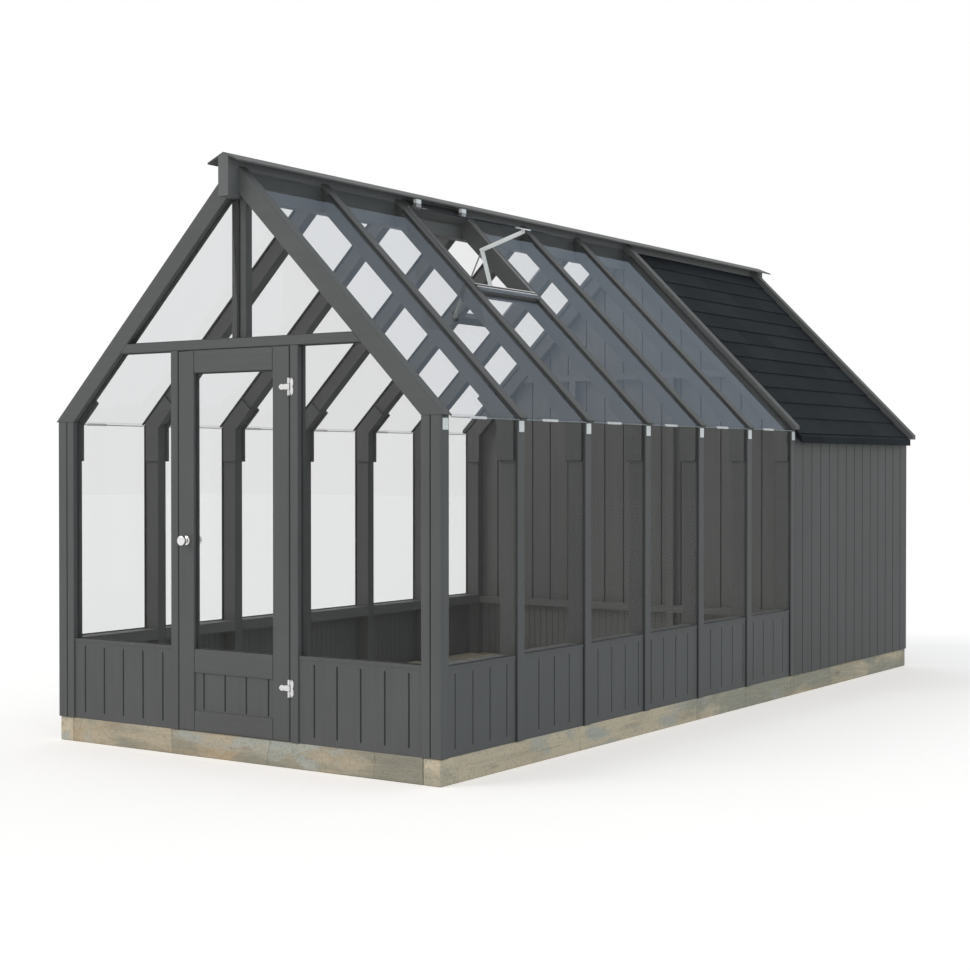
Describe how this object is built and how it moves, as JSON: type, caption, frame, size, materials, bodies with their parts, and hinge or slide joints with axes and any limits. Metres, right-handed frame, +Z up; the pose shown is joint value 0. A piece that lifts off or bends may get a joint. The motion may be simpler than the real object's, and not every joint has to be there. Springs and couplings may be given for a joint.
{
  "type": "timber-framed glass greenhouse with shed",
  "caption": "Long pitched-roof timber greenhouse, glazed on roof and walls above low boarded walls, with a hinged glass door and a boarded, shingled shed at its rear end.",
  "frame": {"origin": "On the ground under the middle of the whole building.", "axes": "+X to the right-hand long side, +Y back along the ridge from the front door, +Z up."},
  "size_m": [2.614, 6.038, 2.975],
  "materials": {
    "painted_timber": "dark grey painted timber",
    "plinth_timber": "weathered pale timber",
    "clear_glass": "clear sheet glass",
    "shingle_felt": "dark mineral-faced shingle",
    "bright_steel": "bright zinc plated steel",
    "white_plastic": "white plastic",
    "aluminium": "mill aluminium",
    "dark_tube": "black coated tube",
    "chrome_knob": "polished chrome"
  },
  "bodies": {
    "building": {"door_jambs": "painted_timber", "eave_brackets": "bright_steel", "eave_clips": "white_plastic", "front_low_walls": "painted_timber", "front_posts": "painted_timber", "front_side_glass": "clear_glass", "front_transom": "painted_timber", "gable_glass": "clear_glass", "gable_mullion": "painted_timber", "inner_sills": "painted_timber", "jamb_hinge_plates": "bright_steel", "knee_plates": "painted_timber", "left_low_walls": "painted_timber", "left_posts": "painted_timber", "left_rafters": "painted_timber", "left_roof_glass": "clear_glass", "left_side_glass": "clear_glass", "partition_rails": "painted_timber", "partition_studs": "painted_timber", "partition_wall": "painted_timber", "plinth_cross_beams": "plinth_timber", "plinth_greenhouse_beams": "plinth_timber", "plinth_shed_beams": "plinth_timber", "ridge_beam": "painted_timber", "ridge_cap": "painted_timber", "right_low_walls": "painted_timber", "right_posts": "painted_timber", "right_rafters": "painted_timber", "right_roof_glass": "clear_glass", "right_side_glass": "clear_glass", "shed_door": "painted_timber", "shed_door_trim": "painted_timber", "shed_left_roof": "shingle_felt", "shed_left_wall": "painted_timber", "shed_rear_posts": "painted_timber", "shed_rear_wall": "painted_timber", "shed_right_roof": "shingle_felt", "shed_right_wall": "painted_timber", "shed_verge_rafters": "painted_timber", "vent_curbs": "painted_timber", "vent_hinges": "white_plastic", "vent_open_sash": "clear_glass", "vent_opener_arms": "aluminium", "vent_opener_brackets": "aluminium", "vent_opener_tube": "dark_tube", "vent_shut_sash": "clear_glass", "vent_side_strips": "aluminium"},
    "front_door_leaf": {"door_stiles": "painted_timber", "door_rails": "painted_timber", "door_panel": "painted_timber", "door_glass": "clear_glass", "door_hinge_straps": "bright_steel", "door_knobs": "chrome_knob"}
  },
  "joints": [
    {"name": "front_door", "type": "hinge", "parent": "building", "child": "front_door_leaf", "pos_m": [0.3535, -2.949, 0], "axis": [0, 0, 1], "range_deg": [0, 110]}
  ]
}
